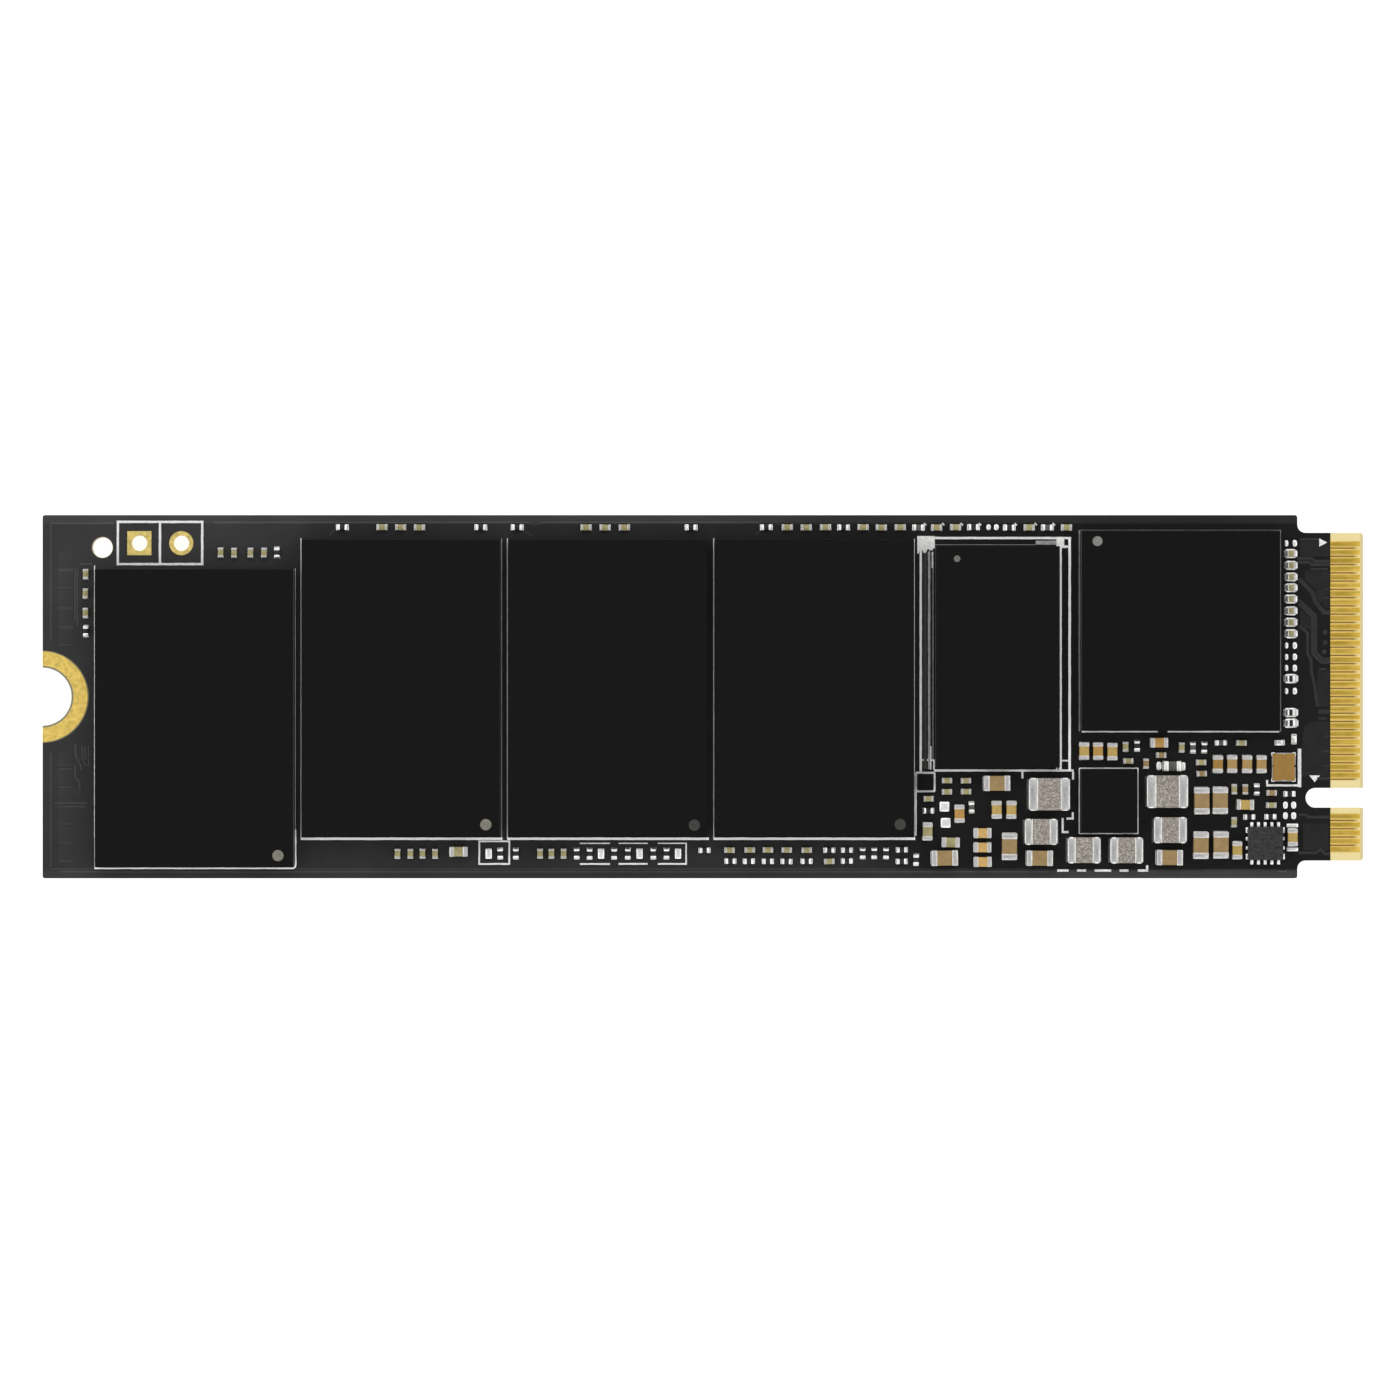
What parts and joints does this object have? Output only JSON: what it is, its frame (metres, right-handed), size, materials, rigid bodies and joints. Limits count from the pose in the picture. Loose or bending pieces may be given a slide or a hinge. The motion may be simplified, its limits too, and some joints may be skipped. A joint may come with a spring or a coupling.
{
  "type": "solid state drive",
  "caption": "Bare solid state drive card: long thin board with memory packages, controller and chip parts on one side, key-slotted edge contacts at one end and a screw half hole at the other.",
  "frame": {"origin": "middle of the card's length and width, on the plane of its underside", "axes": "+X along the card from the screw half hole to the edge contacts, +Y across it towards contact 1, +Z out of the component side"},
  "size_m": [0.08, 0.022, 0.0021],
  "materials": {
    "laminate": "matte",
    "solder_mask": "satin",
    "gold_plate": "satin",
    "mould_compound": "matte",
    "package_substrate": "satin",
    "silicon": "polished",
    "ferrite_composite": "matte",
    "chip_ceramic": "satin",
    "tin_metal": "satin",
    "amber_cap": "satin",
    "silkscreen_ink": "matte"
  },
  "bodies": {
    "root": {"board_laminate": "laminate", "bottom_double_chip_row": "chip_ceramic", "bottom_edge_chip_row": "chip_ceramic", "bulk_capacitor_1": "chip_ceramic", "bulk_capacitor_2": "chip_ceramic", "bulk_capacitor_3": "chip_ceramic", "bulk_capacitor_4": "chip_ceramic", "bulk_capacitor_5": "chip_ceramic", "bulk_capacitor_pair_1": "chip_ceramic", "bulk_capacitor_pair_2": "chip_ceramic", "controller_die": "silicon", "controller_package": "mould_compound", "controller_substrate": "package_substrate", "core_power_chips": "chip_ceramic", "corner_chip_column": "chip_ceramic", "corner_chip_row": "chip_ceramic", "crystal_base": "tin_metal", "crystal_lid": "amber_cap", "dram_die": "silicon", "dram_package": "mould_compound", "dram_substrate": "package_substrate", "edge_contacts_bottom_long": "gold_plate", "edge_contacts_bottom_short": "gold_plate", "edge_contacts_top_long": "gold_plate", "edge_contacts_top_short": "gold_plate", "ground_ring_bottom": "gold_plate", "ground_ring_top": "gold_plate", "input_capacitor_bank": "chip_ceramic", "input_power_chips": "chip_ceramic", "left_power_chips": "chip_ceramic", "link_chip_column": "chip_ceramic", "load_switch_leadframe": "tin_metal", "load_switch_package": "mould_compound", "nand_die_1": "silicon", "nand_die_2": "silicon", "nand_die_3": "silicon", "nand_die_4": "silicon", "nand_package_1": "mould_compound", "nand_package_2": "mould_compound", "nand_package_3": "mould_compound", "nand_package_4": "mould_compound", "nand_substrate_1": "package_substrate", "nand_substrate_2": "package_substrate", "nand_substrate_3": "package_substrate", "nand_substrate_4": "package_substrate", "output_capacitor_bank": "chip_ceramic", "power_inductor_1": "ferrite_composite", "power_inductor_2": "ferrite_composite", "power_inductor_3": "ferrite_composite", "power_inductor_4": "ferrite_composite", "power_inductor_5": "ferrite_composite", "power_inductor_6": "ferrite_composite", "power_manager_package": "mould_compound", "power_manager_substrate": "package_substrate", "solder_mask_bottom": "solder_mask", "solder_mask_top": "solder_mask", "temperature_sensor": "mould_compound", "test_hole_round": "gold_plate", "test_hole_square": "gold_plate", "top_edge_chip_row": "chip_ceramic"}
  },
  "joints": []
}
